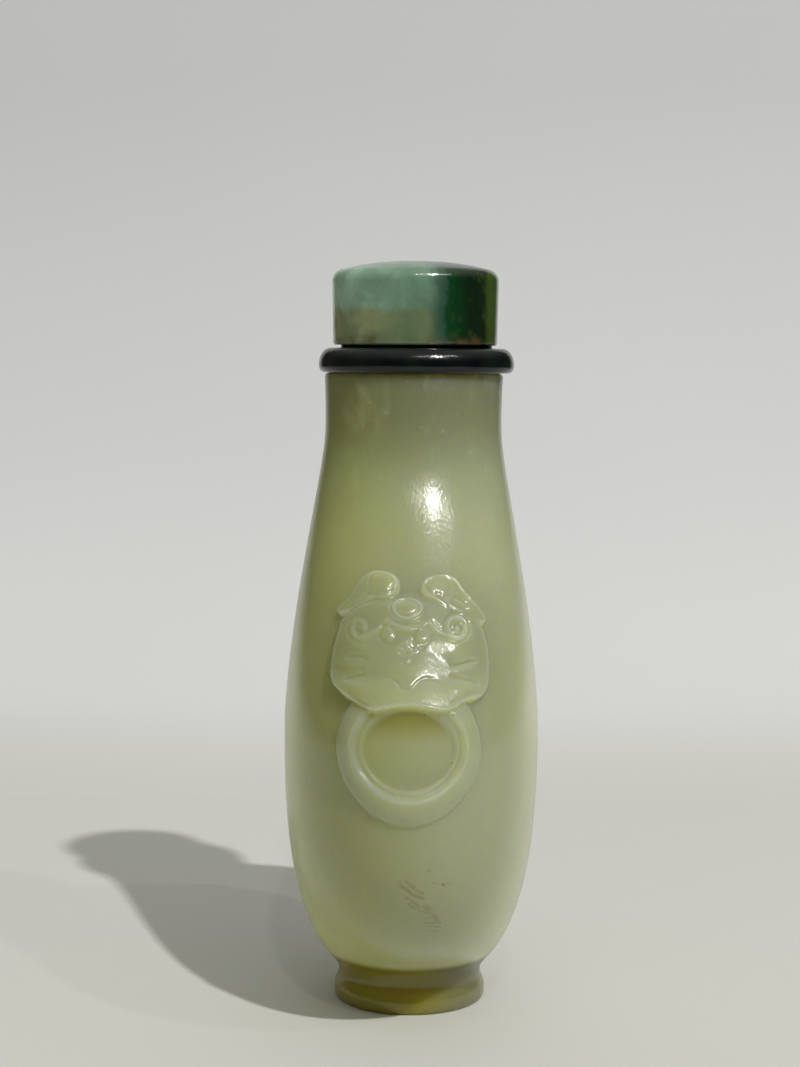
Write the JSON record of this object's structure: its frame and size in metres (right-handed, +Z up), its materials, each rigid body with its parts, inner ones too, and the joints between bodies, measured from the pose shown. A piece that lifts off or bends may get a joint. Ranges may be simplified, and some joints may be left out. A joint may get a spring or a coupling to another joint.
{
  "type": "snuff bottle",
  "caption": "Hollow flattened snuff bottle of carved pale green jade, a lion mask holding a ring in relief on each narrow side, with a dark stone collar and a low domed green stone cap.",
  "frame": {"origin": "middle of the foot, on the surface the bottle stands on", "axes": "+Z up along the bottle, X across its thin sides, Y across its wide sides; the two carved masks face -Y and +Y"},
  "size_m": [0.0258, 0.0506, 0.075],
  "materials": {
    "celadon_jade": "polished",
    "black_green_stone": "polished",
    "green_jadeite": "polished"
  },
  "bodies": {
    "root": {"bottle": "celadon_jade", "collar": "black_green_stone", "stopper_cap": "green_jadeite"}
  },
  "joints": []
}
